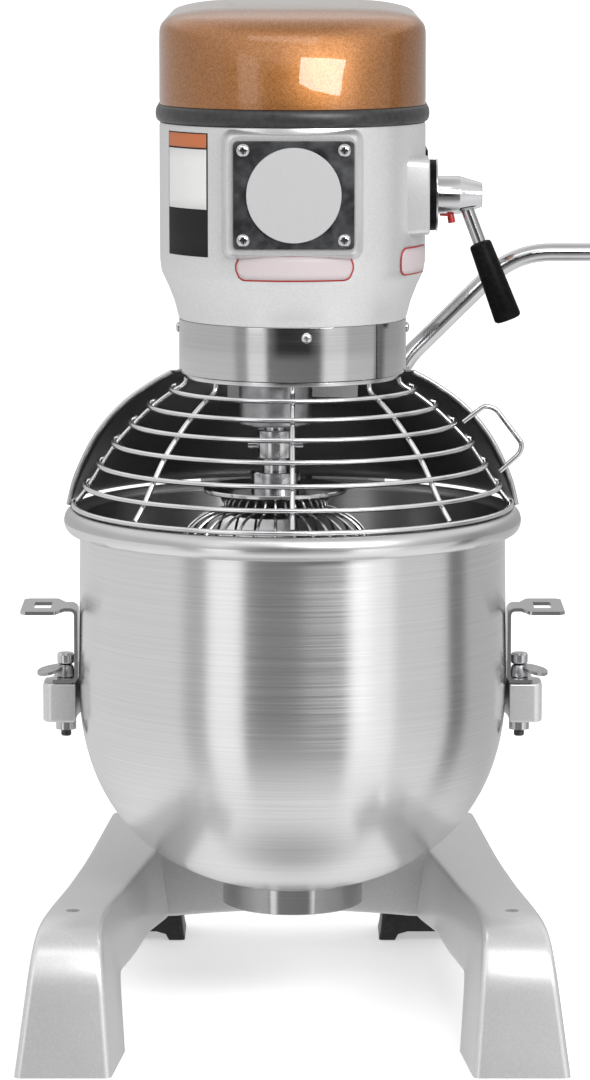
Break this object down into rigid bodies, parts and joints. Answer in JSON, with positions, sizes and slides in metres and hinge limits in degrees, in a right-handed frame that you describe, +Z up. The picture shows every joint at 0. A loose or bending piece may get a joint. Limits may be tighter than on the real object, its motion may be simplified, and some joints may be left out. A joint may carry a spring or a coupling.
{
  "type": "stand mixer",
  "caption": "Commercial planetary stand mixer with a lifting steel bowl, wire guard, whisk, gear lever and lift lever on a forked cast base.",
  "frame": {"origin": "middle of the overall footprint, on the floor", "axes": "+Z up, -Y to the front, +X towards the gear lever and lift lever; the mixing axis stands at x -47.5 mm, y -30 mm"},
  "size_m": [0.515, 0.516, 0.78],
  "materials": {
    "cast_paint": "silver grey casting paint, satin, with a fine grain",
    "copper_paint": "copper metallic paint under clear coat",
    "stainless": "brushed stainless steel",
    "chrome": "polished plating",
    "steel": "machined steel",
    "black_rubber": "matt black rubber",
    "black_plastic": "satin black plastic",
    "dark_plate": "dark anodised plate",
    "grey_disc": "satin light grey disc, blank",
    "motor_grey": "grey enamel",
    "green_button": "gloss green plastic",
    "red_button": "gloss red plastic"
  },
  "bodies": {
    "frame": {"base_casting": "cast_paint", "rear_foot_left": "black_rubber", "rear_foot_right": "black_rubber", "column": "cast_paint", "rear_panel": "cast_paint", "cable_gland": "black_plastic", "head_housing": "cast_paint", "cover_seal": "black_rubber", "top_cover": "copper_paint", "gearbox_lid": "steel", "collar_ring": "stainless", "collar_screw_1": "stainless", "collar_screw_2": "stainless", "collar_screw_3": "stainless", "front_plate": "dark_plate", "front_disc": "grey_disc", "plate_screw_1": "chrome", "plate_screw_2": "chrome", "plate_screw_3": "chrome", "plate_screw_4": "chrome", "switch_box": "black_plastic", "ring_gear": "steel", "main_bearing": "steel", "motor_body": "motor_grey", "drive_belt": "black_rubber", "speed_dial": "dark_plate", "rear_guard_shell": "stainless"},
    "start_button": {"start_button": "green_button"},
    "stop_button": {"stop_button": "red_button"},
    "planetary": {"planet_carrier": "steel", "main_shaft": "steel"},
    "agitator": {"agitator_shaft": "steel", "planet_pinion": "steel", "whisk_head": "stainless", "whisk_wires": "stainless"},
    "fork": {"shift_fork": "steel"},
    "cluster": {"gear_cluster": "steel"},
    "input": {"input_shaft": "steel", "input_pulley": "steel"},
    "motor_rotor": {"motor_pulley": "steel"},
    "shift_lever": {"shift_hub": "chrome", "shift_rod": "chrome", "shift_grip": "black_plastic"},
    "yoke": {"bowl_yoke": "cast_paint", "lift_rack": "steel", "bowl": "stainless", "bowl_foot_ring": "stainless", "bowl_bracket_left": "stainless", "bowl_bracket_right": "stainless", "clamp_bolt_left": "steel", "clamp_bolt_right": "steel"},
    "clamp_left": {"clamp_lever_left": "steel"},
    "clamp_right": {"clamp_lever_right": "steel"},
    "lift": {"lift_shaft": "steel", "lift_sector": "steel", "lift_lever_rod": "chrome", "lift_lever_grip": "black_plastic"},
    "guard": {"guard_cage": "stainless", "guard_handle": "stainless"}
  },
  "joints": [
    {"name": "planetary_spin", "type": "hinge", "parent": "frame", "child": "planetary", "pos_m": [-0.0475, -0.03, 0.506], "axis": [0, 0, 1], "continuous": true},
    {"name": "agitator_spin", "type": "hinge", "parent": "planetary", "child": "agitator", "pos_m": [-0.0605, -0.0793, 0.506], "axis": [0, 0, 1], "continuous": true},
    {"name": "shift_lever_turn", "type": "hinge", "parent": "frame", "child": "shift_lever", "pos_m": [0.0565, -0.05, 0.6384], "axis": [1, 0, 0], "range_deg": [-40, 40]},
    {"name": "fork_slide", "type": "slide", "parent": "frame", "child": "fork", "axis": [0, 0, 1], "range_m": [-0.0102, 0.0102]},
    {"name": "cluster_spin", "type": "hinge", "parent": "fork", "child": "cluster", "pos_m": [-0.0475, 0.036, 0.608], "axis": [0, 0, 1], "continuous": true},
    {"name": "input_spin", "type": "hinge", "parent": "frame", "child": "input", "pos_m": [-0.0475, 0.036, 0.608], "axis": [0, 0, 1], "continuous": true},
    {"name": "motor_spin", "type": "hinge", "parent": "frame", "child": "motor_rotor", "pos_m": [-0.0475, 0.195, 0.672], "axis": [0, 0, 1], "continuous": true},
    {"name": "bowl_lift", "type": "slide", "parent": "frame", "child": "yoke", "axis": [0, 0, 1], "range_m": [-0.04, 0]},
    {"name": "lift_lever_turn", "type": "hinge", "parent": "frame", "child": "lift", "pos_m": [-0.0475, 0.218, 0.466], "axis": [1, 0, 0], "range_deg": [0, 64]},
    {"name": "clamp_left_turn", "type": "hinge", "parent": "yoke", "child": "clamp_left", "pos_m": [-0.2241, -0.03, 0.265], "axis": [0, 0, 1], "range_deg": [-70, 0]},
    {"name": "clamp_right_turn", "type": "hinge", "parent": "yoke", "child": "clamp_right", "pos_m": [0.1291, -0.03, 0.265], "axis": [0, 0, 1], "range_deg": [0, 70]},
    {"name": "guard_swing", "type": "hinge", "parent": "frame", "child": "guard", "pos_m": [-0.0475, -0.03, 0.499], "axis": [0, 0, 1], "range_deg": [-150, 0]},
    {"name": "start_button_press", "type": "slide", "parent": "frame", "child": "start_button", "axis": [-1, 0, 0], "range_m": [0, 0.0016], "stiffness_N_per_m": 400, "springref_m": -0.0005},
    {"name": "stop_button_press", "type": "slide", "parent": "frame", "child": "stop_button", "axis": [-1, 0, 0], "range_m": [0, 0.0016], "stiffness_N_per_m": 400, "springref_m": -0.0005}
  ],
  "couplings": [
    {"joint": "agitator_spin", "follows": "planetary_spin", "ratio": -3.8333},
    {"joint": "cluster_spin", "follows": "planetary_spin", "ratio": -1},
    {"joint": "input_spin", "follows": "planetary_spin", "ratio": -1},
    {"joint": "motor_spin", "follows": "planetary_spin", "ratio": -3},
    {"joint": "fork_slide", "follows": "shift_lever_turn", "m_per_rad": 0.014324},
    {"joint": "lift_lever_turn", "follows": "bowl_lift", "rad_per_m": -27.778}
  ]
}
